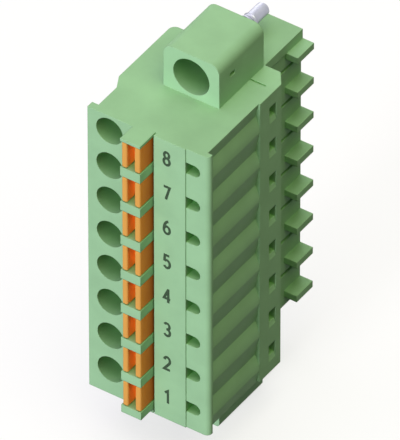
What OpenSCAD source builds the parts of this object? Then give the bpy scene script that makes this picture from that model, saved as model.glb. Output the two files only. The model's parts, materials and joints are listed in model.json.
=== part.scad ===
// Pluggable terminal block with push-in clamps and screw flanges.
// Design frame: x from the plain side to the ribbed side, y from the front plate to the mating end,
// z along the row of poles, with zero at the middle of the body's height.

/* [Row of poles] */
// Number of poles
pole_count = 8; // [2:1:12]
// Distance from one pole to the next
pitch = 3.5; // [3.4:0.05:4.2]
// Height of one clamp chamber along the row
chamber_h = 2.6; // [2.4:0.05:2.8]
// End wall below the first chamber
end_wall_low = 1.25; // [1:0.05:2.5]
// End wall above the last chamber
end_wall_high = 0.25; // [0.2:0.05:1.5]

/* [Housing] */
// Width across the front plate
body_w = 11.2; // [11.1:0.05:12]
// Depth from the front plate to the back face
body_d = 11.7; // [11.5:0.05:12.5]
// Thickness of the front plate's lip
lip_t = 0.65; // [0.6:0.05:0.9]
// Step from the label field down to the strip with the test openings
strip_step = 0.1; // [0.05:0.01:0.15]
// Width of the strip with the test openings
strip_w = 2.1; // [2:0.05:2.3]
// Radius on the front plate's ribbed-side edge
lip_r = 0.45; // [0.1:0.05:0.5]
// How far the ribbed side stands back from the lip
side_set = 0.3; // [0.1:0.05:0.4]
// Wall between the plain side and the chambers
plain_wall = 0.75; // [0.75:0.01:0.8]
// Wall between the ribbed side and the latch fingers
ribbed_wall = 1.2; // [1.1:0.05:1.3]
// Front wall that carries the wire entries and button channels
front_wall = 3.3; // [3.2:0.05:3.6]
// Depth of the undercut behind the lip on the plain side
undercut = 0.6; // [0.3:0.05:0.65]
// Where the undercut's flat ends, from the front plate
undercut_end = 3.1; // [2.5:0.1:3.1]
// Length of the ramp that closes the undercut
undercut_ramp = 1.2; // [0.8:0.1:1.6]
// Radius on the plain side's back corner
back_r = 0.6; // [0.2:0.05:0.8]
// Chamfer on the ribbed side's back corner, across the width
back_chamfer_x = 0.85; // [0.4:0.05:0.9]
// Chamfer on the ribbed side's back corner, along the depth
back_chamfer_y = 1.15; // [0.6:0.05:1.5]

/* [Wire entries] */
// Distance of the wire axis from the plain side
wire_x = 2.05; // [2.05:0.01:2.3]
// Radius of the funnel's mouth
mouth_r = 1.24; // [1.1:0.02:1.3]
// Depth of the mouth's straight part
mouth_depth = 2; // [1.8:0.05:2.1]
// Radius of the throat that guides the conductor
throat_r = 0.95; // [0.8:0.01:0.95]
// Depth at which the funnel has narrowed to the throat
throat_depth = 2.6; // [2.4:0.1:2.8]

/* [Buttons] */
// Distance of the button ridge from the plain side
ridge_x = 4.2; // [4.1:0.05:4.4]
// Width of the button ridge
ridge_w = 1.86; // [1.8:0.01:2]
// How far the ridge and the buttons stand out of the front plate
ridge_proud = 1.72; // [1.5:0.01:2.2]
// How far the ridge ends above the body's lower end face
ridge_foot = 0.5; // [0.2:0.05:0.8]
// Width of the relief groove beside the ridge
relief_w = 0.1; // [0.05:0.01:0.2]
// Depth of the relief groove beside the ridge
relief_depth = 0.4; // [0.2:0.05:0.8]
// How far a button lies inside the ridge on the wire side
button_set = 0.13; // [0.08:0.01:0.2]
// How far a button lies inside the ridge on the label side
button_inset = 0.03; // [0.02:0.01:0.06]
// Clearance between a button and its channel
button_clear = 0.05; // [0.04:0.01:0.1]
// Width of the button's rim on the wire side
button_rim = 0.5; // [0.4:0.02:0.54]
// Width of the blade groove in the button
blade_w = 0.68; // [0.6:0.02:0.8]
// Depth of the blade groove in the button
blade_depth = 1.2; // [0.8:0.05:1.4]
// How far the retaining lug stands out of the button's stem
lug_out = 0.55; // [0.4:0.05:0.6]
// How far the nose is cut back on the label side, so that it meets the leg at one edge
nose_relief = 0.9; // [0.8:0.05:1]
// Length of the retaining lug
lug_len = 0.6; // [0.4:0.05:0.7]

/* [Test openings] */
// Length of a test opening across the width
test_w = 1.3; // [1.2:0.05:1.35]
// Height of a test opening
test_h = 1.1; // [0.9:0.02:1.1]
// Depth of a test opening
test_depth = 1.2; // [1:0.05:1.5]
// Width of the probe hole behind the opening
probe_w = 0.4; // [0.3:0.05:0.45]
// Height of the probe hole behind the opening
probe_h = 0.7; // [0.5:0.05:0.8]
// How far the test openings lie below their pole's middle
test_drop = 0.38; // [0.3:0.01:0.5]

/* [Grip ribs] */
// Depth of the grip grooves
rib_depth = 0.4; // [0.2:0.05:0.45]
// Height of a rib's upper, curved flank
rib_curve_h = 1.5; // [1:0.05:1.8]
// How far a groove's valley lies above its pole's middle
rib_rise = 0.22; // [0:0.01:0.4]
// Where the grip grooves end, from the front plate
rib_end = 7.6; // [6:0.1:7.8]

/* [Latch] */
// Distance of a latch window from the back face
window_back = 1.85; // [1.75:0.05:1.95]
// Width of a latch window along the depth
window_w = 0.95; // [0.9:0.05:1.05]
// Height of a latch window
window_h = 1.25; // [1.15:0.05:1.35]
// How far a latch window's middle lies below its pole's middle
window_drop = 0.35; // [0.25:0.01:0.45]
// How far a window's sloping sill falls to the ribbed side
sill_drop = 0.42; // [0.2:0.02:0.5]
// Depth at which the sill starts to slope
sill_depth = 0.15; // [0.1:0.01:0.3]
// Thickness of a latch finger
finger_t = 0.55; // [0.4:0.05:0.6]
// Height of a latch finger along the row
finger_h = 0.85; // [0.6:0.05:0.85]
// How far the latch nose reaches into its window
nose_out = 0.7; // [0.5:0.05:1]
// Place of the nose's peak along the nose, as a share of its width
nose_peak = 0.45; // [0.2:0.05:0.8]

/* [Screw flanges] */
// Width of a flange
flange_w = 5.2; // [4.6:0.1:5.6]
// Distance of the flange's middle from the plain side
flange_x = 6; // [5.6:0.1:6.4]
// Depth of a flange
flange_d = 6.1; // [5.6:0.1:7]
// How far the flange's back face lies in front of the body's back face
flange_set = 0.2; // [0:0.05:0.4]
// Height of a flange above the body's end face
flange_h = 4.2; // [4:0.1:4.8]
// Radius on the upper flange's outer edges
flange_r = 0.9; // [0.3:0.1:1.2]
// Radius on the lower flange's outer edges
flange_low_r = 0.25; // [0.15:0.05:0.5]
// Height of the screw axis above the body's end face
screw_rise = 2; // [1.95:0.05:2.2]
// Radius of the bore that takes the screw head
head_bore_r = 1.68; // [1.6:0.02:1.8]
// Wall behind the screw head
seat_wall = 1.5; // [1:0.1:2]
// Length of the small window in the flange's side
flange_window_w = 0.7; // [0.4:0.05:1]
// Height of the small window in the flange's side
flange_window_h = 0.4; // [0.2:0.05:0.6]
// Distance of the small window from the flange's front
flange_window_y = 1.45; // [1:0.05:2]
// Height of the small window above the screw axis
flange_window_rise = 0.15; // [0:0.05:0.4]

/* [Screws] */
// Radius of the screw's head
head_r = 1.5; // [1.3:0.02:1.55]
// Height of the screw's head
head_h = 1.3; // [1:0.1:1.6]
// Width of the driver slot
slot_w = 0.5; // [0.4:0.05:0.6]
// Depth of the driver slot
slot_depth = 0.6; // [0.4:0.05:0.8]
// Radius of the relieved shank
shank_r = 0.62; // [0.5:0.01:0.7]
// Running clearance around the shank
shank_clear = 0.05; // [0.02:0.01:0.08]
// Outer radius of the thread
thread_r = 0.8; // [0.7:0.05:0.85]
// Length of the thread
thread_len = 1.6; // [1.2:0.1:2]
// Gap that the captive screw can float along its axis
float_gap = 0.4; // [0.2:0.05:0.6]
// Radius of the pilot point
pilot_r = 0.58; // [0.5:0.02:0.62]
// Length of the pilot point
pilot_len = 1.95; // [1.6:0.05:2.4]

/* [Mating part] */
// Length of the mating part behind the body
mate_len = 5.25; // [4.6:0.05:6]
// Distance of the mating part from the plain side
mate_x = 4.1; // [3.6:0.1:4.2]
// Width of the mating part
mate_w = 4.5; // [4.4:0.1:5]
// Wall of the mating part below the first pole's middle
mate_low = 0.9; // [0.8:0.05:1.2]
// Thickness of the plate that closes the housing
plate_t = 1; // [0.8:0.05:1.1]
// Clearance around the plate and the latch fingers
plate_clear = 0.05; // [0.03:0.01:0.1]
// Distance of the socket axis from the plain side
socket_x = 6; // [5.9:0.1:6.2]
// Width of a socket cavity
socket_w = 1.9; // [1.85:0.05:2]
// Height of a socket cavity
socket_h = 1.2; // [1.1:0.05:1.3]
// Side of the square pin opening
pin_hole = 1.1; // [1:0.05:1.1]
// Side of the lead-in around the pin opening
lead_in = 1.5; // [1.4:0.05:1.7]
// Depth of the lead-in
lead_depth = 0.25; // [0.1:0.05:0.4]
// Thickness of the mating end wall
end_skin = 0.7; // [0.5:0.05:0.9]
// How far a coding tab stands out of the mating part
tab_out = 1.05; // [0.8:0.05:1.3]
// Length of a coding tab
tab_len = 2.25; // [1.8:0.05:2.6]
// Thickness of a coding tab
tab_t = 0.62; // [0.4:0.02:0.8]
// How far a coding tab's middle lies above its pole's middle
tab_rise = 0.31; // [0.2:0.01:0.4]
// How far the mating part's side steps in below the topmost coding tab
mate_step = 0.15; // [0.1:0.01:0.2]
// Thickness of the side slots in the mating part
side_slot_t = 0.3; // [0.2:0.05:0.4]
// Depth of the side slots
side_slot_depth = 0.8; // [0.4:0.05:1]
// How far a side slot lies below its pole's middle
side_slot_drop = 1.1; // [1:0.05:1.2]
// Length of wall left behind a side slot
side_slot_rest = 1.05; // [0.8:0.05:1.4]

/* [Contacts and springs] */
// Thickness of the contact's bar
bar_t = 0.35; // [0.25:0.01:0.35]
// Height of the contact's bar along the row
bar_h = 2.1; // [1.8:0.05:2.2]
// Thickness of a socket leaf
leaf_t = 0.25; // [0.2:0.01:0.3]
// Height of a socket leaf along the row
leaf_h = 0.9; // [0.7:0.05:1]
// Gap between the socket leaves where they grip the pin
leaf_gap = 0.6; // [0.4:0.05:0.8]
// Thickness of the clamp spring's strip
spring_t = 0.3; // [0.2:0.02:0.32]
// Height of the clamp spring's strip along the row
spring_h = 2.1; // [1.8:0.05:2.2]
// Middle radius of the clamp spring's bend
spring_r = 0.9; // [0.8:0.05:1]
// Angle of the clamping leg to the front plate
spring_angle = 35; // [33:1:37]
// Distance of the spring's back leg from the ribbed side
spring_back = 2.4; // [2.3:0.05:2.5]
// Distance of the spring's bend from the front wall
spring_gap = 0.95; // [0.8:0.05:1]
// Gap between the clamping leg's tip and the contact's bar
tip_gap = 0.15; // [0.1:0.01:0.25]
// Gap between a button's nose and the clamping leg
nose_gap = 0.05; // [0.03:0.01:0.1]
// Length of the spring's foot
foot_len = 1.45; // [1.2:0.05:1.45]

/* [Hidden] */
$fn = 48;
overcut = 1;
rib_steps = 5;
seam_w = 0.16;
seam_depth = 0.12;
seam_back = 2.1;
tip_chamfer = 0.15;
bend_lap = 1;
head_gap = 0.05;
housing_green = [0.55, 0.75, 0.55];
carrier_green = [0.5, 0.7, 0.48];
button_orange = [0.93, 0.55, 0.2];
tin = [0.8, 0.8, 0.78];
spring_steel = [0.7, 0.71, 0.73];
screw_steel = [0.75, 0.75, 0.8];

body_h = end_wall_low + (pole_count - 1) * pitch + chamber_h + end_wall_high;
end_z = body_h / 2;
side_x = body_w - side_set;
strip_x = body_w - strip_w;
chamber_x0 = plain_wall;
chamber_x1 = side_x - ribbed_wall;
plate_y = body_d - plate_t;
mate_y = body_d + mate_len;
row_low = -end_z + end_wall_low;
row_high = end_z - end_wall_high;
flange_y1 = body_d - flange_set;
flange_y0 = flange_y1 - flange_d;
seat_y = flange_y1 - seat_wall;
screw_z = end_z + screw_rise;
window_y = body_d - window_back - window_w;
button_x0 = ridge_x + button_set;
button_x1 = ridge_x + ridge_w - button_inset;
button_h = chamber_h - 2 * button_clear;
bar_x1 = chamber_x0 + bar_t;
back_leg_x = side_x - spring_back;
foot_y = window_y - finger_t - plate_clear;
bend_x = back_leg_x - spring_t / 2 - spring_r;
bend_y = front_wall + spring_gap + spring_t / 2 + spring_r;
leg_x = bend_x - spring_r * sin(spring_angle);
leg_y = bend_y - spring_r * cos(spring_angle);
leg_len = (leg_x - bar_x1 - tip_gap - spring_t * sin(spring_angle) / 2) / cos(spring_angle);
finger_x1 = chamber_x1 - plate_clear;
finger_y = foot_y + spring_t + plate_clear;

// Middle of a pole's clamp chamber along the row
function pole_z(i) = row_low + chamber_h / 2 + (i - 1) * pitch;

// Front surface of the clamping leg at a distance x from the plain side
function leg_front(x) =
    leg_y + (leg_x - x) * tan(spring_angle) - spring_t / 2 / cos(spring_angle);

// Moves the design frame's origin to the middle of the part's underside
module placed() {
    translate([-body_w / 2, (ridge_proud - mate_y) / 2, end_z + flange_h]) children();
}

// Extrudes an outline drawn in x and z from y0 to y1
module along_y(y0, y1) {
    translate([0, y1, 0]) rotate([90, 0, 0]) linear_extrude(y1 - y0) children();
}

// Extrudes an outline drawn in x and y over a height h about the level z
module along_z(z, h) {
    translate([0, 0, z - h / 2]) linear_extrude(h) children();
}

// Repeats its children at both ends of the body
module both_ends() {
    children();
    mirror([0, 0, 1]) children();
}

module body_outline() {
    polygon([
        [0, 0], [strip_x, 0], [strip_x, strip_step], [body_w - lip_r, strip_step],
        [body_w, strip_step + lip_r], [body_w, lip_t], [side_x, lip_t],
        [side_x, body_d - back_chamfer_y], [side_x - back_chamfer_x, body_d],
        [back_r, body_d], [0, body_d - back_r], [0, undercut_end + undercut_ramp],
        [undercut, undercut_end], [undercut, lip_t], [0, lip_t]
    ]);
    translate([back_r, body_d - back_r]) circle(back_r);
    intersection() {
        translate([body_w - lip_r, strip_step + lip_r]) circle(lip_r);
        square([body_w, lip_t]);
    }
}

module flange_outline(r) {
    square([flange_w, flange_h - r]);
    translate([r, 0]) square([flange_w - 2 * r, flange_h]);
    for (x = [r, flange_w - r]) translate([x, flange_h - r]) circle(r);
}

module flange_block(r) {
    translate([flange_x - flange_w / 2, 0, end_z]) along_y(flange_y0, flange_y1) flange_outline(r);
}

module flange_cuts() {
    translate([flange_x, 0, screw_z]) {
        along_y(flange_y0 - overcut, seat_y) circle(head_bore_r);
        along_y(flange_y0, flange_y1 + overcut) circle(shank_r + shank_clear);
        translate([0, flange_y0 + flange_window_y, flange_window_rise])
            cube([flange_w / 2 + overcut, flange_window_w, flange_window_h]);
    }
    translate([flange_x + flange_w / 2, body_d - seam_back, end_z - seam_depth])
        cube([side_x - back_chamfer_x - flange_x - flange_w / 2, seam_w, overcut]);
}

module clamp_chamber(z) {
    along_z(z, chamber_h) {
        translate([chamber_x0, front_wall]) square([back_leg_x - chamber_x0, body_d - front_wall]);
        translate([chamber_x0, foot_y]) square([chamber_x1 - chamber_x0, body_d - foot_y]);
    }
}

module wire_entry(z) {
    translate([wire_x, 0, z]) {
        along_y(-overcut, mouth_depth) circle(mouth_r);
        along_y(0, front_wall + overcut) circle(throat_r);
        translate([0, mouth_depth, 0]) rotate([-90, 0, 0])
            cylinder(h = throat_depth - mouth_depth, r1 = mouth_r, r2 = throat_r);
    }
}

module button_channel(z) {
    along_z(z, chamber_h) {
        translate([ridge_x - overcut, -ridge_proud - overcut])
            square([ridge_w + 2 * overcut, ridge_proud + overcut]);
        translate([button_x0 - button_clear, -overcut])
            square([button_x1 - button_x0 + 2 * button_clear, front_wall + 2 * overcut]);
    }
}

// A test opening, round at its ribbed end, with the probe hole behind it
module test_opening(z) {
    translate([strip_x, strip_step, z - test_drop]) along_y(-overcut, test_depth) {
        translate([0, -test_h / 2]) square([test_w - test_h / 2, test_h]);
        translate([test_w - test_h / 2, 0]) circle(test_h / 2);
    }
    translate([chamber_x1 - probe_w, strip_step, z - test_drop - probe_h / 2])
        cube([probe_w, foot_y + spring_t - strip_step, probe_h]);
}

// A latch window with a sill that slopes down to the ribbed side
module latch_window(z) {
    sill_z = z - window_drop - window_h / 2;
    translate([chamber_x1 - overcut, window_y, sill_z])
        cube([ribbed_wall + 2 * overcut, window_w, window_h]);
    along_y(window_y, window_y + window_w) polygon([
        [side_x - sill_depth, sill_z], [side_x, sill_z - sill_drop], [side_x + overcut, sill_z - sill_drop],
        [side_x + overcut, sill_z + sill_drop], [side_x - sill_depth, sill_z + sill_drop]
    ]);
}

// One grip groove: a straight flank above its valley and a curved flank below it
module grip_groove(z) {
    along_y(lip_t, rib_end) polygon(concat(
        [[side_x + overcut, z + pitch - rib_curve_h], [side_x, z + pitch - rib_curve_h]],
        [for (k = [0:rib_steps])
            [side_x - rib_depth * (1 - sin(90 * k / rib_steps)), z - rib_curve_h * k / rib_steps]],
        [[side_x + overcut, z - rib_curve_h]]
    ));
}

module wire_housing() color(housing_green) placed() {
    difference() {
        union() {
            along_z(0, body_h) body_outline();
            translate([ridge_x, -ridge_proud, ridge_foot - end_z])
                cube([ridge_w, ridge_proud + lip_t, body_h - ridge_foot]);
            flange_block(flange_r);
            mirror([0, 0, 1]) flange_block(flange_low_r);
        }
        for (i = [1:pole_count]) {
            clamp_chamber(pole_z(i));
            wire_entry(pole_z(i));
            button_channel(pole_z(i));
            test_opening(pole_z(i));
            latch_window(pole_z(i));
        }
        for (i = [0:pole_count]) grip_groove(pole_z(i) + rib_rise);
        translate([ridge_x + ridge_w, -overcut, -end_z - overcut])
            cube([relief_w, overcut + relief_depth, body_h + 2 * overcut]);
        translate([chamber_x0, plate_y, row_low])
            cube([chamber_x1 - chamber_x0, plate_t + overcut, row_high - row_low]);
        both_ends() flange_cuts();
    }
}

module latch_finger(z) {
    nose_y = window_y + plate_clear;
    nose_w = window_w - 2 * plate_clear;
    along_z(z - window_drop, finger_h) polygon([
        [finger_x1 - finger_t, plate_y + plate_clear], [finger_x1 - finger_t, finger_y],
        [finger_x1, finger_y], [finger_x1, nose_y], [finger_x1 + nose_out, nose_y + nose_w * nose_peak],
        [finger_x1, nose_y + nose_w], [finger_x1, plate_y + plate_clear]
    ]);
}

module coding_tab(z) {
    x = mate_x + mate_w;
    along_z(z + tab_rise, tab_t) translate([x - tab_t, mate_y - tab_len]) square([tab_t + tab_out, tab_len]);
}

module socket_cavity(z) {
    along_z(z, socket_h) translate([socket_x - socket_w / 2, plate_y - overcut])
        square([socket_w, mate_y - end_skin - plate_y + overcut]);
    along_z(z, pin_hole) translate([socket_x - pin_hole / 2, plate_y])
        square([pin_hole, mate_y - plate_y + overcut]);
    along_z(z, lead_in) translate([socket_x - lead_in / 2, mate_y - lead_depth])
        square([lead_in, lead_depth + overcut]);
}

module side_slot(z) {
    translate([mate_x + mate_w - mate_step - side_slot_depth, body_d, z - side_slot_drop - side_slot_t / 2])
        cube([side_slot_depth + overcut, mate_len - side_slot_rest, side_slot_t]);
}

module contact_carrier() color(carrier_green) placed() {
    mate_z = pole_z(1) - mate_low;
    ledge_z = pole_z(pole_count) + tab_rise + tab_t / 2;
    plate_w = chamber_x1 - chamber_x0 - 2 * plate_clear;
    difference() {
        union() {
            translate([chamber_x0 + plate_clear, plate_y, row_low + plate_clear])
                cube([plate_w, plate_t, row_high - row_low - 2 * plate_clear]);
            translate([mate_x, body_d, mate_z]) cube([mate_w - mate_step, mate_len, end_z - mate_z]);
            translate([mate_x, body_d, ledge_z]) cube([mate_w, mate_len, end_z - ledge_z]);
            for (i = [1:pole_count]) {
                latch_finger(pole_z(i));
                coding_tab(pole_z(i));
            }
        }
        for (i = [1:pole_count]) {
            socket_cavity(pole_z(i));
            if (i > 1) side_slot(pole_z(i));
        }
    }
}

// A button with its blade groove, retaining lug and slanted nose
module push_button(z) color(button_orange) placed() {
    x0 = button_x0;
    x1 = button_x1;
    lug_y = front_wall + button_clear;
    along_z(z, button_h) polygon([
        [x0, -ridge_proud], [x0 + button_rim, -ridge_proud], [x0 + button_rim, blade_depth - ridge_proud],
        [x0 + button_rim + blade_w, blade_depth - ridge_proud], [x0 + button_rim + blade_w, -ridge_proud],
        [x1, -ridge_proud], [x1, leg_front(x1) - nose_gap - nose_relief], [x0, leg_front(x0) - nose_gap],
        [x0, lug_y + lug_len], [x0 - lug_out, lug_y + lug_len], [x0 - lug_out, lug_y], [x0, lug_y]
    ]);
}

// A leaf spring: a foot, a back leg, a bend and the clamping leg
module clamp_spring(z) color(spring_steel) placed() {
    along_z(z, spring_h) {
        translate([back_leg_x - spring_t, foot_y]) square([foot_len, spring_t]);
        translate([back_leg_x - spring_t, bend_y]) square([spring_t, foot_y + spring_t - bend_y]);
        translate([bend_x, bend_y]) intersection() {
            difference() {
                circle(spring_r + spring_t / 2);
                circle(spring_r - spring_t / 2);
            }
            polygon([
                [0, 0], [2 * spring_r, 0], [2 * spring_r, -2 * spring_r],
                [-2 * spring_r * tan(spring_angle + bend_lap), -2 * spring_r]
            ]);
        }
        translate([leg_x, leg_y]) rotate(180 - spring_angle)
            translate([0, -spring_t / 2]) square([leg_len, spring_t]);
    }
}

module socket_leaf() {
    grip_y = mate_y - end_skin - socket_w / 2;
    mouth_y = mate_y - end_skin - plate_clear;
    root = socket_w / 2 - leaf_t / 2;
    flare = pin_hole / 2;
    polygon([
        [root - leaf_t, plate_y - bar_t], [root, plate_y - bar_t], [root, body_d],
        [leaf_gap / 2 + leaf_t, grip_y], [flare + leaf_t, mouth_y], [flare, mouth_y],
        [leaf_gap / 2, grip_y], [root - leaf_t, body_d]
    ]);
}

// A contact: the current bar along the plain side, a cross bar and two socket leaves
module contact(z) color(tin) placed() {
    along_z(z, bar_h) {
        translate([chamber_x0, front_wall + plate_clear])
            square([bar_t, plate_y - front_wall - plate_clear]);
        translate([chamber_x0, plate_y - bar_t])
            square([socket_x + socket_w / 2 - leaf_t / 2 - chamber_x0, bar_t]);
    }
    along_z(z, leaf_h) translate([socket_x, 0]) {
        socket_leaf();
        mirror([1, 0]) socket_leaf();
    }
}

// A captive screw with a slotted head, relieved shank, thread and pilot point
module flange_screw(z) color(screw_steel) placed() {
    head_y = seat_y - head_gap;
    thread_y = flange_y1 + float_gap;
    pilot_y = thread_y + thread_len;
    tip_y = pilot_y + pilot_len;
    translate([flange_x, 0, z]) difference() {
        rotate([-90, 0, 0]) rotate_extrude() polygon([
            [0, head_y - head_h], [head_r - tip_chamfer, head_y - head_h],
            [head_r, head_y - head_h + tip_chamfer], [head_r, head_y], [shank_r, head_y],
            [shank_r, thread_y], [thread_r, thread_y + thread_r - shank_r], [thread_r, pilot_y],
            [pilot_r, pilot_y + thread_r - pilot_r], [pilot_r, tip_y - tip_chamfer],
            [pilot_r - tip_chamfer, tip_y], [0, tip_y]
        ]);
        translate([-head_r - overcut, head_y - head_h - overcut, -slot_w / 2])
            cube([2 * (head_r + overcut), overcut + slot_depth, slot_w]);
    }
}

wire_housing();
contact_carrier();
flange_screw(screw_z);  // flange_screw_upper
flange_screw(-screw_z);  // flange_screw_lower
for (i = [1:pole_count]) {
    push_button(pole_z(i));
    clamp_spring(pole_z(i));
    contact(pole_z(i));
}
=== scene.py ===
import json
import math

import bmesh
import bpy
import numpy as np
from mathutils import Matrix, Vector

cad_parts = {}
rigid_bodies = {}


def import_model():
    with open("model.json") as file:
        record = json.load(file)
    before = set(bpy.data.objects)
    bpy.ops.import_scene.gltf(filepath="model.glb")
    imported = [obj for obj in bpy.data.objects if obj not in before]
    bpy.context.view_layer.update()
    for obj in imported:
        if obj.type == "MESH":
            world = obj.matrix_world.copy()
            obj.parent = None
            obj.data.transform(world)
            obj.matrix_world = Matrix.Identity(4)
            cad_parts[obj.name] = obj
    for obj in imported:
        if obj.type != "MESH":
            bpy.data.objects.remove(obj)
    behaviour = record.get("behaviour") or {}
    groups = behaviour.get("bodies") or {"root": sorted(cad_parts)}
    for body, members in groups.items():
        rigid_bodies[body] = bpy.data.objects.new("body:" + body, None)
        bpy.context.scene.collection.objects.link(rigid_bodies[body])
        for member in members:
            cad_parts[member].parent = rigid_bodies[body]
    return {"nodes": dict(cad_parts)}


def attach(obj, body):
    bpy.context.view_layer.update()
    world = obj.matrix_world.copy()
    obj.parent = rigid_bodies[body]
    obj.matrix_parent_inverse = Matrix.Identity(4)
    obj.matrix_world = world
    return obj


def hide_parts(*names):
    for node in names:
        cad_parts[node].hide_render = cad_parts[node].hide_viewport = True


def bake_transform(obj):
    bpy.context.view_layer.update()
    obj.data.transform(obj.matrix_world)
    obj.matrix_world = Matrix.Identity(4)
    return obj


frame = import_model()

bl_info = {
    "name": "Push-in terminal block",
    "version": (1, 0, 0),
    "blender": (4, 5, 0),
    "location": "View3D > Sidebar > Terminal",
    "description": "Dresses the packed terminal block: moulded plastics, digits, springs and screws",
    "category": "Object",
}

MM = 0.001
POLES = 8

# Meshes: points closer than the gap are one, and edges flatter than an angle are joined, rounded or smooth.
WELD_GAP = 0.001 * MM
FLAT_ANGLE = math.radians(0.5)
SHARP_ANGLE = math.radians(24.0)
SMOOTH_ANGLE = math.radians(12.0)
PIECE_SMOOTH_ANGLE = math.radians(30.0)
CORNER_LIMIT = 0.45

# Finishes: noise in waves per metre, and how far a colour, a gloss or a height strays.
WHITE = (1.0, 1.0, 1.0)
MATT_SHEEN = 0.03
EDGE_SAMPLES = 8
# Painted shade in cavities: how far the occlusion looks, and the cover over which the darker tint fades in.
CAVITY_SHADE_REACH = 4.0 * MM
CAVITY_SHADE_COVER = (0.1, 0.5)
MELT_WAVES = 420.0
MELT_TONES = (0.95, 1.05)
GLOSS_WAVES = 1900.0
GLOSS_STRAY = 0.06
GRAIN_WAVES = 9000.0
GRAIN_STRENGTH = 0.35
STREAK_WAVES = 5200.0
STREAK_STRAY = 0.07
STREAK_STRENGTH = 0.25
STREAK_DEPTH = 0.002 * MM
SPOT_WAVES = 1500.0
SPOT_TONES = (0.93, 1.04)
INK_WAVES = 5200.0
INK_COVER = (0.35, 0.75)
INK_TONE = 1.35
INK_ROUGH = (0.5, 0.62)

# Places in the design frame of the solids, in millimetres, and the shift from there to the row frame.
DESIGN_SHIFT = np.array([-5.6, -7.615, 18.5])
POLE_FIRST = -11.75
POLE_PITCH = 3.5

# Camera, from the photo's own edges: a point on the block, the way it is seen and the picture's scale.
PHOTO_LONG_SIDE = 440.0
PHOTO_CENTRE = (200.0, 220.0)
CAMERA_POINT = (6.0, 6.0, 2.0)
CAMERA_POINT_PIXEL = (195.795, 213.242)
CAMERA_FOCAL_PIXELS = 15475.7
CAMERA_CLIP = (0.01, 20.0)
SENSOR_WIDTH = 36.0


def row_point(x, y, z):
    """A point of the design frame, in millimetres, as a point of the row frame, in metres."""
    return Vector((np.array([x, y, z]) + DESIGN_SHIFT) * MM)


def pole_level(number):
    """Height of a pole's middle in the design frame: the first pole plus whole pitches."""
    return POLE_FIRST + (number - 1) * POLE_PITCH


class BlockLook(bpy.types.PropertyGroup):
    """Colours and small sizes of the block's own pieces."""

    housing_colour: bpy.props.FloatVectorProperty(
        name="Housing", description="Green of the housing and the mating part", subtype="COLOR",
        size=3, min=0, max=1, default=(0.30, 0.527, 0.294))
    # Painted shade: a tint that darkens and yellows the green deep in holes and slots.
    painted_cavity_shade_colour: bpy.props.FloatVectorProperty(
        name="Cavities", description="Tint of the green deep in holes and slots", subtype="COLOR",
        size=3, min=0, default=(0.76, 1.0, 0.61))
    button_colour: bpy.props.FloatVectorProperty(
        name="Buttons", description="Orange of the release buttons", subtype="COLOR",
        size=3, min=0, max=1, default=(0.70, 0.352, 0.079))
    # Painted glow: a colour that stands in for light bouncing in the blade grooves.
    button_groove_glow_colour: bpy.props.FloatVectorProperty(
        name="Button grooves", description="Glowing orange in the blade grooves", subtype="COLOR",
        size=3, min=0, max=1, default=(1.0, 0.43, 0.09))
    # Painted shade: the buttons' sides in a shaded colour.
    button_side_shade_colour: bpy.props.FloatVectorProperty(
        name="Button sides", description="Deeper orange on the buttons' sides", subtype="COLOR",
        size=3, min=0, max=1, default=(0.98, 0.24, 0.038))
    ink_colour: bpy.props.FloatVectorProperty(
        name="Digits", description="Ink of the pole numbers", subtype="COLOR",
        size=3, min=0, max=1, default=(0.045, 0.08, 0.045))
    zinc_colour: bpy.props.FloatVectorProperty(
        name="Screws", description="Zinc plating of the screws", subtype="COLOR",
        size=3, min=0, max=1, default=(0.42, 0.43, 0.50))
    spring_colour: bpy.props.FloatVectorProperty(
        name="Springs", description="Bare steel of the clamp springs", subtype="COLOR",
        size=3, min=0, max=1, default=(0.60, 0.60, 0.61))
    tin_colour: bpy.props.FloatVectorProperty(
        name="Contacts", description="Tin plating of the contacts", subtype="COLOR",
        size=3, min=0, max=1, default=(0.72, 0.72, 0.70))
    housing_edge: bpy.props.FloatProperty(
        name="Housing edge", description="Radius on the housing's moulded edges", unit="LENGTH",
        min=0, default=0.1 * MM)
    button_edge: bpy.props.FloatProperty(
        name="Button edge", description="Radius on the buttons' moulded edges", unit="LENGTH",
        min=0, default=0.15 * MM)
    metal_edge: bpy.props.FloatProperty(
        name="Metal edge", description="Radius on stamped and turned edges", unit="LENGTH",
        min=0, default=0.03 * MM)
    digit_height: bpy.props.FloatProperty(
        name="Digit height", description="Height of a pole number", unit="LENGTH", min=0, default=1.5 * MM)
    digit_width: bpy.props.FloatProperty(
        name="Digit width", description="Width of a pole number", unit="LENGTH", min=0, default=0.77 * MM)
    digit_stroke: bpy.props.FloatProperty(
        name="Digit stroke", description="Width of a number's stroke", unit="LENGTH",
        min=0, default=0.23 * MM)
    thread_pitch: bpy.props.FloatProperty(
        name="Thread pitch", description="Rise of the screw thread in one turn", unit="LENGTH",
        min=0, default=0.35 * MM)


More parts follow.
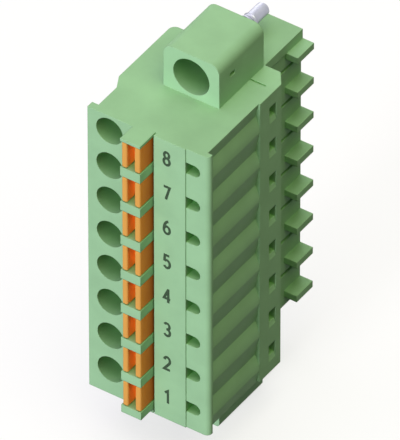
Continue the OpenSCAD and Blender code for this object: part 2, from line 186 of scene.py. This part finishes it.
class StageLook(bpy.types.PropertyGroup):
    """Camera, lamps and floor around the block."""

    azimuth: bpy.props.FloatProperty(
        name="Azimuth", description="Camera's turn round the block", subtype="ANGLE",
        default=math.radians(34.1163))
    elevation: bpy.props.FloatProperty(
        name="Elevation", description="Camera's height above the horizon", subtype="ANGLE",
        default=math.radians(41.024))
    roll: bpy.props.FloatProperty(
        name="Roll", description="Camera's tilt about its own line of sight", subtype="ANGLE",
        default=math.radians(-0.0356))
    distance: bpy.props.FloatProperty(
        name="Distance", description="Camera's distance from the block", unit="LENGTH", default=1.2)
    overhead_power: bpy.props.FloatProperty(
        name="Overhead lamp", description="Power of the large lamp above", unit="POWER", default=1.44)
    overhead_colour: bpy.props.FloatVectorProperty(
        name="Overhead colour", description="Colour of the large lamp above", subtype="COLOR",
        size=3, min=0, default=(1.08, 0.96, 1.28))
    right_power: bpy.props.FloatProperty(
        name="Right lamp", description="Power of the large lamp above on the right", unit="POWER",
        default=1.72)
    right_colour: bpy.props.FloatVectorProperty(
        name="Right colour", description="Colour of the large lamp above on the right", subtype="COLOR",
        size=3, min=0, default=(1.03, 1.06, 0.56))
    front_power: bpy.props.FloatProperty(
        name="Front lamp", description="Power of the low lamp in front", unit="POWER", default=6.8)
    front_colour: bpy.props.FloatVectorProperty(
        name="Front colour", description="Colour of the low lamp in front", subtype="COLOR",
        size=3, min=0, default=(1.03, 1.0, 1.13))
    rear_power: bpy.props.FloatProperty(
        name="Rear lamp", description="Power of the low lamp at the rear left", unit="POWER", default=1.56)
    rear_colour: bpy.props.FloatVectorProperty(
        name="Rear colour", description="Colour of the low lamp at the rear left", subtype="COLOR",
        size=3, min=0, default=(1.0, 1.0, 1.0))
    fill_level: bpy.props.FloatProperty(
        name="Fill", description="Strength of the even light from all round", min=0, default=0.117)
    fill_colour: bpy.props.FloatVectorProperty(
        name="Fill colour", description="Colour of the even light from all round", subtype="COLOR",
        size=3, min=0, default=(1.0, 1.0, 1.0))
    floor_colour: bpy.props.FloatVectorProperty(
        name="Floor", description="Colour of the floor as the camera sees it", subtype="COLOR", size=3,
        min=0, max=1, default=(1.0, 1.0, 1.0))
    floor_bounce: bpy.props.FloatVectorProperty(
        name="Floor bounce", description="Colour of the floor as the block sees it", subtype="COLOR", size=3,
        min=0, max=1, default=(0.06, 0.06, 0.06))


def block_look():
    """The block's settings in this scene."""
    return bpy.context.scene.terminal_block


def stage_look():
    """The stage's settings in this scene."""
    return bpy.context.scene.terminal_stage


# Materials


def shader_nodes(name):
    """A new material's node tree, its Principled shader and its Object coordinates."""
    material = bpy.data.materials.new(name)
    material.use_nodes = True
    tree = material.node_tree
    shader = tree.nodes["Principled BSDF"]
    coords = tree.nodes.new("ShaderNodeTexCoord")
    return material, tree, shader, coords.outputs["Object"]


def noise(tree, vector, scale, detail=2.0, rough=0.5):
    """Cloudy noise over a place, from 0 to 1."""
    node = tree.nodes.new("ShaderNodeTexNoise")
    node.inputs["Scale"].default_value = scale
    node.inputs["Detail"].default_value = detail
    node.inputs["Roughness"].default_value = rough
    tree.links.new(vector, node.inputs["Vector"])
    return node.outputs["Fac"]


def mapped(tree, value, low, high, from_low=0.3, from_high=0.7):
    """A value stretched from one range to another, and held at the ends."""
    node = tree.nodes.new("ShaderNodeMapRange")
    ends = {"From Min": from_low, "From Max": from_high, "To Min": low, "To Max": high}
    for socket, number in ends.items():
        node.inputs[socket].default_value = number
    tree.links.new(value, node.inputs["Value"])
    return node.outputs["Result"]


def blended(tree, factor, colour_a, colour_b):
    """The first colour at factor 0, the second at 1."""
    node = tree.nodes.new("ShaderNodeMix")
    node.data_type = "RGBA"
    node.inputs["A"].default_value = (*colour_a, 1)
    node.inputs["B"].default_value = (*colour_b, 1)
    tree.links.new(factor, node.inputs["Factor"])
    return node.outputs["Result"]


def bumped(tree, height, strength, distance, edge=0.0):
    """A bump from a height, over edges that look rounded by the edge radius where there is one."""
    node = tree.nodes.new("ShaderNodeBump")
    if edge:
        round_edge = tree.nodes.new("ShaderNodeBevel")
        round_edge.samples = EDGE_SAMPLES
        round_edge.inputs["Radius"].default_value = edge
        tree.links.new(round_edge.outputs["Normal"], node.inputs["Normal"])
    node.inputs["Strength"].default_value = strength
    node.inputs["Distance"].default_value = distance
    tree.links.new(height, node.inputs["Height"])
    return node.outputs["Normal"]


def scaled_colour(colour, factor):
    """A colour made lighter or darker, at most full."""
    return tuple(min(1.0, c * factor) for c in colour)


def multiplied(tree, first, second):
    """One colour tinted by another."""
    node = tree.nodes.new("ShaderNodeMix")
    node.data_type = "RGBA"
    node.blend_type = "MULTIPLY"
    node.inputs["Factor"].default_value = 1.0
    tree.links.new(first, node.inputs["A"])
    tree.links.new(second, node.inputs["B"])
    return node.outputs["Result"]


def painted_cavity_shade(tree, tint):
    """Painted shade: white in the open, and the tint deep in holes and slots, where the occlusion finds them
    covered.
    """
    occlusion = tree.nodes.new("ShaderNodeAmbientOcclusion")
    occlusion.samples = EDGE_SAMPLES
    occlusion.inputs["Distance"].default_value = CAVITY_SHADE_REACH
    return blended(tree, mapped(tree, occlusion.outputs["AO"], 0, 1, *CAVITY_SHADE_COVER), tint, WHITE)


def moulded_plastic(name, colour, rough, grain_depth, edge=0.0, cavity_shade=None):
    """Moulded plastic: slow colour drift from the melt, fine spark-eroded grain, uneven gloss, where an edge
    radius is given, edges that catch the light as if rounded by it, and where a tint is given, painted shade
    in cavities."""
    material, tree, shader, place = shader_nodes(name)
    drift = mapped(tree, noise(tree, place, MELT_WAVES, 3.0), 0, 1)
    tint = blended(tree, drift, *(scaled_colour(colour, tone) for tone in MELT_TONES))
    # Painted shade: the green is tinted darker deep in holes and slots.
    if cavity_shade:
        tint = multiplied(tree, tint, painted_cavity_shade(tree, cavity_shade))
    tree.links.new(tint, shader.inputs["Base Color"])
    gloss = mapped(tree, noise(tree, place, GLOSS_WAVES, 3.0), rough - GLOSS_STRAY, rough + GLOSS_STRAY)
    tree.links.new(gloss, shader.inputs["Roughness"])
    grain = noise(tree, place, GRAIN_WAVES, 3.0, 0.6)
    tree.links.new(bumped(tree, grain, GRAIN_STRENGTH, grain_depth, edge), shader.inputs["Normal"])
    shader.inputs["Specular IOR Level"].default_value = MATT_SHEEN
    return material


def drawn_metal(name, colour, rough, stretch, edge=0.0):
    """Rolled or turned metal: fine streaks along one direction, slight spotting of the surface."""
    material, tree, shader, place = shader_nodes(name)
    mapping = tree.nodes.new("ShaderNodeMapping")
    mapping.inputs["Scale"].default_value = stretch
    tree.links.new(place, mapping.inputs["Vector"])
    streaks = noise(tree, mapping.outputs["Vector"], STREAK_WAVES, 2.0)
    spots = mapped(tree, noise(tree, place, SPOT_WAVES, 3.0), 0, 1)
    tint = blended(tree, spots, *(scaled_colour(colour, tone) for tone in SPOT_TONES))
    tree.links.new(tint, shader.inputs["Base Color"])
    gloss = mapped(tree, streaks, rough - STREAK_STRAY, rough + STREAK_STRAY)
    tree.links.new(gloss, shader.inputs["Roughness"])
    tree.links.new(bumped(tree, streaks, STREAK_STRENGTH, STREAK_DEPTH, edge), shader.inputs["Normal"])
    shader.inputs["Metallic"].default_value = 1.0
    return material


def printed_ink(name, colour):
    """Pad-printed ink: a dense matt film with small thin spots."""
    material, tree, shader, place = shader_nodes(name)
    thin = mapped(tree, noise(tree, place, INK_WAVES, 4.0), 0, 1, *INK_COVER)
    tint = blended(tree, thin, colour, scaled_colour(colour, INK_TONE))
    tree.links.new(tint, shader.inputs["Base Color"])
    tree.links.new(mapped(tree, thin, *INK_ROUGH), shader.inputs["Roughness"])
    shader.inputs["Specular IOR Level"].default_value = MATT_SHEEN
    return material


# Shapes


def grid_quads(rows, columns, close_rows, close_columns):
    """Corners of the quads of a grid of points, numbered row by row, joined round where it closes."""
    i = np.arange(rows if close_rows else rows - 1)
    j = np.arange(columns if close_columns else columns - 1)
    i, j = (a.ravel() for a in np.meshgrid(i, j, indexing="ij"))
    next_i, next_j = (i + 1) % rows, (j + 1) % columns
    row, next_row = i * columns, next_i * columns
    return np.stack([row + j, next_row + j, next_row + next_j, row + next_j], 1)


def swept(path, side, lift, profile, closed):
    """A profile carried along a path: point (i, j) is path i plus side i times the profile's first number
    plus lift times its second. An open sweep gets the profile as a cap at each end."""
    points = (path[:, None, :] + side[:, None, :] * profile[None, :, :1]
              + np.asarray(lift)[None, None, :] * profile[None, :, 1:])
    rows, columns = len(path), len(profile)
    faces = grid_quads(rows, columns, closed, True).tolist()
    if not closed:
        faces.append(list(range(columns)))
        faces.append([(rows - 1) * columns + j for j in reversed(range(columns))])
    return points.reshape(-1, 3), faces


def joined(parts):
    """Several (points, faces) lists as one."""
    points, faces, start = [], [], 0
    for p, f in parts:
        points.append(p)
        faces += [[start + k for k in face] for face in f]
        start += len(p)
    return np.concatenate(points), faces


def made_piece(name, points, faces, material, body):
    """A mesh object of that name at the origin, its faces turned outwards, riding on a body."""
    mesh = bpy.data.meshes.new(name)
    mesh.from_pydata(points.tolist(), [], faces)
    work = bmesh.new()
    work.from_mesh(mesh)
    bmesh.ops.recalc_face_normals(work, faces=work.faces)
    work.to_mesh(mesh)
    work.free()
    mesh.materials.append(material)
    piece = bpy.data.objects.new(name, mesh)
    bpy.context.scene.collection.objects.link(piece)
    mesh.shade_smooth()
    mesh.set_sharp_from_angle(angle=PIECE_SMOOTH_ANGLE)
    if body:
        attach(piece, body)
    return piece


def rounded_edges(node, radius, material, segments=3):
    """Gives a CAD node rounded edges and a finish: its loose triangles are welded, its flats joined,
    and every edge sharper than the angle is rounded."""
    piece = frame["nodes"][node]
    weld = piece.modifiers.new("weld", "WELD")
    weld.merge_threshold = WELD_GAP
    flats = piece.modifiers.new("flats", "DECIMATE")
    flats.decimate_type = "DISSOLVE"
    flats.angle_limit = FLAT_ANGLE
    bevel = piece.modifiers.new("edges", "BEVEL")
    bevel.width = radius
    bevel.segments = segments
    bevel.limit_method = "ANGLE"
    bevel.angle_limit = SHARP_ANGLE
    bevel.use_clamp_overlap = False
    bevel.harden_normals = True
    piece.data.materials.clear()
    piece.data.materials.append(material)


def moulding(node, name, material, body):
    """A welded copy of a CAD node that stands for it, shaded smooth over its curves."""
    mesh = frame["nodes"][node].data.copy()
    mesh.name = name
    work = bmesh.new()
    work.from_mesh(mesh)
    bmesh.ops.remove_doubles(work, verts=work.verts, dist=WELD_GAP)
    work.to_mesh(mesh)
    work.free()
    if "custom_normal" in mesh.attributes:
        mesh.attributes.remove(mesh.attributes["custom_normal"])
    mesh.shade_smooth()
    mesh.set_sharp_from_angle(angle=SMOOTH_ANGLE)
    mesh.materials.clear()
    mesh.materials.append(material)
    piece = bpy.data.objects.new(name, mesh)
    bpy.context.scene.collection.objects.link(piece)
    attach(piece, body)
    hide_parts(node)
    return piece


# Digits


def arc(cx, cy, rx, ry, start, end, steps=18):
    """Points of an ellipse's arc: centre plus the radii times cosine and sine of evenly spaced angles."""
    a = np.radians(np.linspace(start, end, steps))
    return np.stack([cx + rx * np.cos(a), cy + ry * np.sin(a)], 1)


def line(*points):
    """Points joined by straight lines."""
    return np.array(points, float)


def digit_strokes(number):
    """Centre lines of a digit one unit wide and one high, as (points, closed) pairs."""
    strokes = {
        1: [(line((-0.38, 0.80), (0.12, 1.0), (0.12, 0.0)), False)],
        2: [(np.concatenate([arc(0, 0.71, 0.48, 0.29, 168, -32), line((-0.5, 0.0), (0.5, 0.0))]), False)],
        3: [(arc(-0.03, 0.76, 0.45, 0.24, 150, -100), False),
            (arc(0, 0.265, 0.5, 0.265, 100, -152), False)],
        4: [(line((0.22, -0.06), (0.22, 1.06)), False),
            (line((0.22, 1.0), (-0.5, 0.27), (0.56, 0.27)), False)],
        5: [(line((0.42, 1.0), (-0.34, 1.0), (-0.42, 0.5)), False),
            (arc(0, 0.31, 0.5, 0.31, 140, -150), False)],
        6: [(arc(0, 0.29, 0.5, 0.29, 180, 540, 36)[:-1], True),
            (arc(0.34, 0.29, 0.84, 0.71, 178, 94), False)],
        7: [(line((-0.5, 1.0), (0.5, 1.0), (-0.14, 0.0)), False)],
        8: [(arc(0, 0.765, 0.42, 0.235, 90, 450, 32)[:-1], True),
            (arc(0, 0.265, 0.5, 0.265, 90, 450, 32)[:-1], True)],
    }
    return strokes[number]


def stroke_frame(points, closed):
    """Sideways vectors of a plane path: each point's mean normal, lengthened so a corner keeps its width."""
    if closed:
        ahead = np.roll(points, -1, 0) - points
        behind = points - np.roll(points, 1, 0)
    else:
        step = np.diff(points, axis=0)
        ahead = np.concatenate([step, step[-1:]])
        behind = np.concatenate([step[:1], step])
    ahead /= np.linalg.norm(ahead, axis=1)[:, None]
    behind /= np.linalg.norm(behind, axis=1)[:, None]
    mean = ahead + behind
    mean /= np.linalg.norm(mean, axis=1)[:, None]
    stretch = 1 / np.clip((mean * ahead).sum(1), CORNER_LIMIT, 1)
    return np.stack([-mean[:, 1], mean[:, 0]], 1) * stretch[:, None]


class TERMINAL_OT_print_digits(bpy.types.Operator):
    """Prints the pole numbers on the label field"""

    bl_idname = "terminal.print_digits"
    bl_label = "Print digits"

    LABEL_X = 7.37
    LABEL_DROP = 0.22
    FILM = 0.015
    SUNK = 0.02
    LAYER = 0.003

    def execute(self, context):
        look = block_look()
        ink = printed_ink("label_ink", look.ink_colour)
        stroke = look.digit_stroke / MM
        room = np.array([look.digit_width, look.digit_height]) / MM - stroke
        half = stroke / 2
        for number in range(1, POLES + 1):
            parts = []
            for layer, (points, closed) in enumerate(digit_strokes(number)):
                centre = points * room
                side = stroke_frame(centre, closed)
                front = -(self.FILM + layer * self.LAYER)
                profile = np.array([[-half, front], [half, front], [half, self.SUNK], [-half, self.SUNK]])
                level = pole_level(number) - self.LABEL_DROP - room[1] / 2
                origin = np.array([self.LABEL_X, 0, level]) + DESIGN_SHIFT
                path = np.stack([centre[:, 0], np.zeros(len(centre)), centre[:, 1]], 1) + origin
                across = np.stack([side[:, 0], np.zeros(len(side)), side[:, 1]], 1)
                parts.append(swept(path * MM, across * MM, np.array([0, 1.0, 0]) * MM, profile, closed))
            points, faces = joined(parts)
            made_piece(f"digit_{number}", points, faces, ink, "housing")
        return {"FINISHED"}


class TERMINAL_OT_dress_housing(bpy.types.Operator):
    """Gives the housing and the mating part green plastic with soft moulded edges and painted shade in its
    cavities
    """

    bl_idname = "terminal.dress_housing"
    bl_label = "Dress housing"

    ROUGH = 0.5
    GRAIN_DEPTH = 0.006 * MM

    def execute(self, context):
        look = block_look()
        green = moulded_plastic("housing_green", look.housing_colour, self.ROUGH, self.GRAIN_DEPTH,
                                look.housing_edge, look.painted_cavity_shade_colour)
        moulding("wire_housing", "housing_moulding", green, "housing")
        moulding("contact_carrier", "carrier_moulding", green, "housing")
        return {"FINISHED"}


class TERMINAL_OT_dress_buttons(bpy.types.Operator):
    """Rounds the release buttons' edges and gives them orange plastic, with a painted glow in the blade
    grooves and painted shade on the sides
    """

    bl_idname = "terminal.dress_buttons"
    bl_label = "Dress buttons"

    ROUGH = 0.42
    GRAIN_DEPTH = 0.004 * MM
    PRESS_FACE = -1.72
    # Painted glow and shade: where the press face gives way to the groove's glow and the sides' shade, and
    # how the side shade darkens further back.
    FACE_FADE = (0.04, 0.2)
    SIDE_SHADE_FADE = (0.2, 1.5)
    SIDE_SHADE_TONES = (1.32, 0.62)
    GROOVE_MIDDLE = 5.17
    GROOVE_HALF = 0.37

    def execute(self, context):
        look = block_look()
        orange = moulded_plastic("button_orange", WHITE, self.ROUGH, self.GRAIN_DEPTH)
        self.tint(orange, look)
        for number in range(1, POLES + 1):
            rounded_edges(f"push_button_{number}", look.button_edge, orange)
        return {"FINISHED"}

    def tint(self, material, look):
        """Colours the plastic's drift: orange on the press face, and a short way behind it a painted red glow
        in the blade groove and painted shade on the sides, darker further back."""
        tree = material.node_tree
        base = tree.nodes["Principled BSDF"].inputs["Base Color"]
        drift = base.links[0].from_socket
        parts = tree.nodes.new("ShaderNodeSeparateXYZ")
        tree.links.new(tree.nodes.new("ShaderNodeTexCoord").outputs["Object"], parts.inputs[0])
        front = row_point(self.GROOVE_MIDDLE, self.PRESS_FACE, 0)
        groove = tree.nodes.new("ShaderNodeMath")
        groove.operation = "COMPARE"
        groove.inputs[1].default_value = front.x
        groove.inputs[2].default_value = self.GROOVE_HALF * MM
        tree.links.new(parts.outputs["X"], groove.inputs[0])
        behind_face, along_side = (
            mapped(tree, parts.outputs["Y"], 0, 1, front.y + near * MM, front.y + far * MM)
            for near, far in (self.FACE_FADE, self.SIDE_SHADE_FADE))
        # Painted shade on the sides, lighter near the face and darker further back.
        sides = blended(tree, along_side,
                        *(scaled_colour(look.button_side_shade_colour, tone) for tone in self.SIDE_SHADE_TONES))
        # Painted glow in the blade groove.
        painted_glow_and_shade = blended(tree, groove.outputs[0], WHITE, look.button_groove_glow_colour)
        tree.links.new(sides, painted_glow_and_shade.node.inputs["A"])
        tone = blended(tree, behind_face, look.button_colour, WHITE)
        tree.links.new(painted_glow_and_shade, tone.node.inputs["B"])
        tree.links.new(multiplied(tree, tone, drift), base)


class TERMINAL_OT_dress_contacts(bpy.types.Operator):
    """Rounds the contacts' stamped edges and gives them tin plating"""

    bl_idname = "terminal.dress_contacts"
    bl_label = "Dress contacts"

    ROUGH = 0.36
    STRETCH = (1, 0.06, 1)

    def execute(self, context):
        look = block_look()
        tin = drawn_metal("contact_tin", look.tin_colour, self.ROUGH, self.STRETCH)
        for number in range(1, POLES + 1):
            rounded_edges(f"contact_{number}", look.metal_edge, tin)
        return {"FINISHED"}


class TERMINAL_OT_bend_springs(bpy.types.Operator):
    """Bends the clamp springs from steel strip"""

    bl_idname = "terminal.bend_springs"
    bl_label = "Bend springs"

    ROUGH = 0.3
    STRETCH = (0.06, 0.06, 1)
    FOOT_END = (9.65, 8.45)
    BACK_X = 8.35
    FOOT_RADIUS = 0.17
    BEND_CENTRE = (7.45, 5.3)
    BEND_RADIUS = 0.9
    LEG_ANGLE = 35.0
    LEG_LENGTH = 6.83
    LEG_STEPS = 24
    STRIP_T = 0.3
    STRIP_W = 2.1
    HELD_X = 6.9
    PUSHED_X = 4.4

    def centre_line(self):
        """The strip's middle in x and y: the foot, a quarter bend, the back leg, the main bend, and the
        clamping leg as even steps along a straight line."""
        r, big = self.FOOT_RADIUS, self.BEND_RADIUS
        foot = line(self.FOOT_END)
        corner = arc(self.BACK_X + r, self.FOOT_END[1] - r, r, r, 90, 180, 8)
        bend = arc(*self.BEND_CENTRE, big, big, 0, -90 - self.LEG_ANGLE, 28)
        slope = math.radians(self.LEG_ANGLE)
        steps = np.linspace(0, self.LEG_LENGTH, self.LEG_STEPS + 1)[1:, None]
        leg = bend[-1] + steps * np.array([-math.cos(slope), math.sin(slope)])
        return np.concatenate([foot, corner, bend, leg])

    def execute(self, context):
        look = block_look()
        steel = drawn_metal("spring_strip", look.spring_colour, self.ROUGH, self.STRETCH)
        middle = self.centre_line()
        side = stroke_frame(middle, False)
        flat = np.zeros((len(middle), 1))
        t, w, e = self.STRIP_T / 2, self.STRIP_W / 2, look.metal_edge / MM
        profile = np.array([[-t + e, -w], [t - e, -w], [t, -w + e], [t, w - e],
                            [t - e, w], [-t + e, w], [-t, w - e], [-t, -w + e]])
        for number in range(1, POLES + 1):
            level = pole_level(number)
            path = np.concatenate([middle, flat + level], 1) + DESIGN_SHIFT
            across = np.concatenate([side, flat], 1)
            points, faces = swept(path * MM, across * MM, np.array([0, 0, 1.0]) * MM, profile, False)
            piece = made_piece(f"bent_spring_{number}", points, faces, steel, None)
            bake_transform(piece)
            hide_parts(f"clamp_spring_{number}")
        return {"FINISHED"}


class TERMINAL_OT_turn_screws(bpy.types.Operator):
    """Cuts the thread on the flange screws and plates them"""

    bl_idname = "terminal.turn_screws"
    bl_label = "Turn screws"

    ROUGH = 0.45
    STRETCH = (1, 0.1, 1)
    AXIS_X = 6.0
    AXIS_Z = 16.3
    CORE_R = 0.62
    CREST_R = 0.8
    THREAD_Y = (12.0, 13.52)
    TURN_STEPS = 40
    RUN_OUT = 0.3
    CREST_SHARE = 0.12
    ROOT_SHARE = 0.95
    ROOT_SUNK = 0.05

    def ridge(self, level, pitch):
        """The thread's ridge: a trapezium carried along a helix, its angle and its height rising evenly. Near
        both ends the radius shrinks to the core, so the ridge runs out."""
        low, high = self.THREAD_Y
        turns = (high - low - pitch) / pitch
        turn = np.linspace(0, turns, int(turns * self.TURN_STEPS))
        angle = 2 * np.pi * turn
        out = np.minimum(1, np.minimum(turn, turns - turn) / self.RUN_OUT)
        radius = self.CORE_R / self.CREST_R + (1 - self.CORE_R / self.CREST_R) * out
        rise = low + pitch * (turn + 0.5)
        path = np.stack([np.full_like(turn, self.AXIS_X), rise, np.full_like(turn, level)], 1)
        away = np.stack([np.cos(angle), np.zeros_like(turn), np.sin(angle)], 1) * radius[:, None]
        root, crest = pitch / 2 * self.ROOT_SHARE, pitch / 2 * self.CREST_SHARE
        inner = self.CORE_R - self.ROOT_SUNK
        profile = np.array([[inner, -root], [self.CREST_R, -crest], [self.CREST_R, crest], [inner, root]])
        return swept((path + DESIGN_SHIFT) * MM, away * MM, np.array([0, 1.0, 0]) * MM, profile, False)

    def execute(self, context):
        look = block_look()
        zinc = drawn_metal("screw_zinc", look.zinc_colour, self.ROUGH, self.STRETCH, look.metal_edge)
        for end, level in (("upper", self.AXIS_Z), ("lower", -self.AXIS_Z)):
            blank = moulding(f"flange_screw_{end}", f"screw_blank_{end}", zinc, f"screw_{end}")
            self.neck_down(blank.data, level)
            points, faces = self.ridge(level, look.thread_pitch / MM)
            made_piece(f"screw_thread_{end}", points, faces, zinc, f"screw_{end}")
        return {"FINISHED"}

    def neck_down(self, mesh, level):
        """Brings the blank's thread length down to the core: points beyond the core's radius there move in
        along it."""
        points = np.empty(len(mesh.vertices) * 3)
        mesh.vertices.foreach_get("co", points)
        points = points.reshape(-1, 3) / MM - DESIGN_SHIFT
        away = points - np.array([self.AXIS_X, 0, level])
        radius = np.hypot(away[:, 0], away[:, 2])
        low, high = self.THREAD_Y
        threaded = (points[:, 1] > low) & (points[:, 1] < high)
        shrink = np.where(threaded, self.CORE_R / np.maximum(radius, self.CORE_R), 1)
        points[:, 0] = self.AXIS_X + away[:, 0] * shrink
        points[:, 2] = level + away[:, 2] * shrink
        mesh.vertices.foreach_set("co", ((points + DESIGN_SHIFT) * MM).ravel())
        mesh.update()


class TERMINAL_OT_build_stage(bpy.types.Operator):
    """Sets the floor, the lamps and the camera"""

    bl_idname = "terminal.build_stage"
    bl_label = "Build stage"

    FLOOR_HALF = 6.0
    FLOOR_GLOW = 0.7
    NO_GLARE = ("front",)
    LAMPS = {
        "overhead": ((-0.15, -0.1, 1.0), 0.6, 0.6),
        "right": ((0.38, -0.2, 1.0), 0.6, 0.6),
        "front": ((0.0, -0.985, 0.174), 0.9, 0.2),
        "rear": ((-0.5, 0.8, 0.25), 0.6, 0.45),
    }

    def execute(self, context):
        look = stage_look()
        self.add_floor(look)
        self.add_light(look)
        self.add_camera(look)
        return {"FINISHED"}

    def seen(self, tree):
        """1 for a ray from the camera, off a gloss or through glass, 0 for the light that the block gets."""
        path = tree.nodes.new("ShaderNodeLightPath")
        result = path.outputs["Is Camera Ray"]
        for name in ("Is Glossy Ray", "Is Transmission Ray"):
            node = tree.nodes.new("ShaderNodeMath")
            node.operation = "MAXIMUM"
            tree.links.new(result, node.inputs[0])
            tree.links.new(path.outputs[name], node.inputs[1])
            result = node.outputs[0]
        return result

    def mixed(self, tree, factor, first, second):
        """The first shader at factor 0, the second at 1."""
        node = tree.nodes.new("ShaderNodeMixShader")
        if isinstance(factor, float):
            node.inputs["Fac"].default_value = factor
        else:
            tree.links.new(factor, node.inputs["Fac"])
        tree.links.new(first, node.inputs[1])
        tree.links.new(second, node.inputs[2])
        return node.outputs["Shader"]

    def matt(self, tree, colour):
        """A dull shader of that colour."""
        node = tree.nodes.new("ShaderNodeBsdfDiffuse")
        node.inputs["Color"].default_value = (*colour, 1)
        return node.outputs["BSDF"]

    def add_floor(self, look):
        """A wide floor: the camera sees it pale, partly lit by itself so that it stays even, with the block's
        shadow on it; the block gets less light back from it."""
        s = self.FLOOR_HALF
        mesh = bpy.data.meshes.new("floor")
        mesh.from_pydata([(-s, -s, 0), (s, -s, 0), (s, s, 0), (-s, s, 0)], [], [(0, 1, 2, 3)])
        floor = bpy.data.objects.new("floor", mesh)
        bpy.context.scene.collection.objects.link(floor)
        material = bpy.data.materials.new("studio_floor")
        material.use_nodes = True
        tree = material.node_tree
        tree.nodes.remove(tree.nodes["Principled BSDF"])
        glow = tree.nodes.new("ShaderNodeEmission")
        pale = self.mixed(tree, self.FLOOR_GLOW, self.matt(tree, look.floor_colour), glow.outputs["Emission"])
        surface = self.mixed(tree, self.seen(tree), self.matt(tree, look.floor_bounce), pale)
        tree.links.new(surface, tree.nodes["Material Output"].inputs["Surface"])
        mesh.materials.append(material)

    def add_light(self, look):
        """Large soft lamps round the block, and an even fill that the camera sees as white."""
        world = bpy.data.worlds.new("studio")
        bpy.context.scene.world = world
        world.use_nodes = True
        tree = world.node_tree
        fill = tree.nodes["Background"]
        fill.inputs["Color"].default_value = (*look.fill_colour, 1)
        fill.inputs["Strength"].default_value = look.fill_level
        white = tree.nodes.new("ShaderNodeBackground")
        white.inputs["Color"].default_value = (1, 1, 1, 1)
        shown = self.mixed(tree, self.seen(tree), fill.outputs[0], white.outputs[0])
        tree.links.new(shown, tree.nodes["World Output"].inputs["Surface"])
        for name, (way, distance, size) in self.LAMPS.items():
            way = Vector(way).normalized()
            lamp = bpy.data.lights.new(f"{name}_lamp", "AREA")
            lamp.shape = "DISK"
            lamp.size = size
            lamp.energy = getattr(look, f"{name}_power")
            lamp.color = getattr(look, f"{name}_colour")
            holder = bpy.data.objects.new(f"{name}_lamp", lamp)
            holder.location = row_point(*CAMERA_POINT) + way * distance
            holder.visible_camera = False
            holder.visible_glossy = name not in self.NO_GLARE
            holder.rotation_mode = "QUATERNION"
            holder.rotation_quaternion = (-way).to_track_quat("-Z", "Y")
            bpy.context.scene.collection.objects.link(holder)

    def add_camera(self, look):
        """Looks at the block's measured point from the photo's angle, and slides sideways until that point
        falls on the photo's pixel."""
        a, e = look.azimuth, look.elevation
        back = Vector((math.sin(a) * math.cos(e), -math.cos(a) * math.cos(e), math.sin(e)))
        right = Vector((math.cos(a), math.sin(a), 0))
        up = back.cross(right)
        turn = Matrix.Rotation(look.roll, 3, back)
        right, up = turn @ right, turn @ up
        pixel = look.distance / CAMERA_FOCAL_PIXELS
        across, down = (c - p for c, p in zip(PHOTO_CENTRE, CAMERA_POINT_PIXEL))
        slide = right * across - up * down
        data = bpy.data.cameras.new("photo_camera")
        data.sensor_width = SENSOR_WIDTH
        data.lens = CAMERA_FOCAL_PIXELS * SENSOR_WIDTH / PHOTO_LONG_SIDE
        data.clip_start, data.clip_end = CAMERA_CLIP
        camera = bpy.data.objects.new("photo_camera", data)
        camera.location = row_point(*CAMERA_POINT) + back * look.distance + slide * pixel
        camera.rotation_mode = "QUATERNION"
        camera.rotation_quaternion = Matrix((right, up, back)).transposed().to_quaternion()
        bpy.context.scene.collection.objects.link(camera)
        bpy.context.scene.camera = camera
        bpy.context.scene.view_settings.view_transform = "Standard"


class TERMINAL_PT_sidebar(bpy.types.Panel):
    """Lists the block's steps and settings"""

    bl_idname = "TERMINAL_PT_sidebar"
    bl_label = "Terminal block"
    bl_space_type = "VIEW_3D"
    bl_region_type = "UI"
    bl_category = "Terminal"

    def draw(self, context):
        for step in STEPS:
            self.layout.operator(step.bl_idname)
        for settings in (context.scene.terminal_block, context.scene.terminal_stage):
            for name in settings.bl_rna.properties.keys():
                if name not in ("rna_type", "name"):
                    self.layout.prop(settings, name)


STEPS = (
    TERMINAL_OT_dress_housing,
    TERMINAL_OT_dress_buttons,
    TERMINAL_OT_print_digits,
    TERMINAL_OT_dress_contacts,
    TERMINAL_OT_bend_springs,
    TERMINAL_OT_turn_screws,
    TERMINAL_OT_build_stage,
)
CLASSES = (BlockLook, StageLook, *STEPS, TERMINAL_PT_sidebar)


def register():
    for cls in CLASSES:
        bpy.utils.register_class(cls)
    bpy.types.Scene.terminal_block = bpy.props.PointerProperty(type=BlockLook)
    bpy.types.Scene.terminal_stage = bpy.props.PointerProperty(type=StageLook)


def unregister():
    del bpy.types.Scene.terminal_stage
    del bpy.types.Scene.terminal_block
    for cls in reversed(CLASSES):
        bpy.utils.unregister_class(cls)


def main():
    for left_over in [o for o in bpy.data.objects if o not in frame["nodes"].values() and o.type != "EMPTY"]:
        bpy.data.objects.remove(left_over)
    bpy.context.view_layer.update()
    register()
    bpy.ops.terminal.dress_housing()
    bpy.ops.terminal.dress_buttons()
    bpy.ops.terminal.print_digits()
    bpy.ops.terminal.dress_contacts()
    bpy.ops.terminal.bend_springs()
    bpy.ops.terminal.turn_screws()
    bpy.ops.terminal.build_stage()


if __name__ == "__main__":
    main()
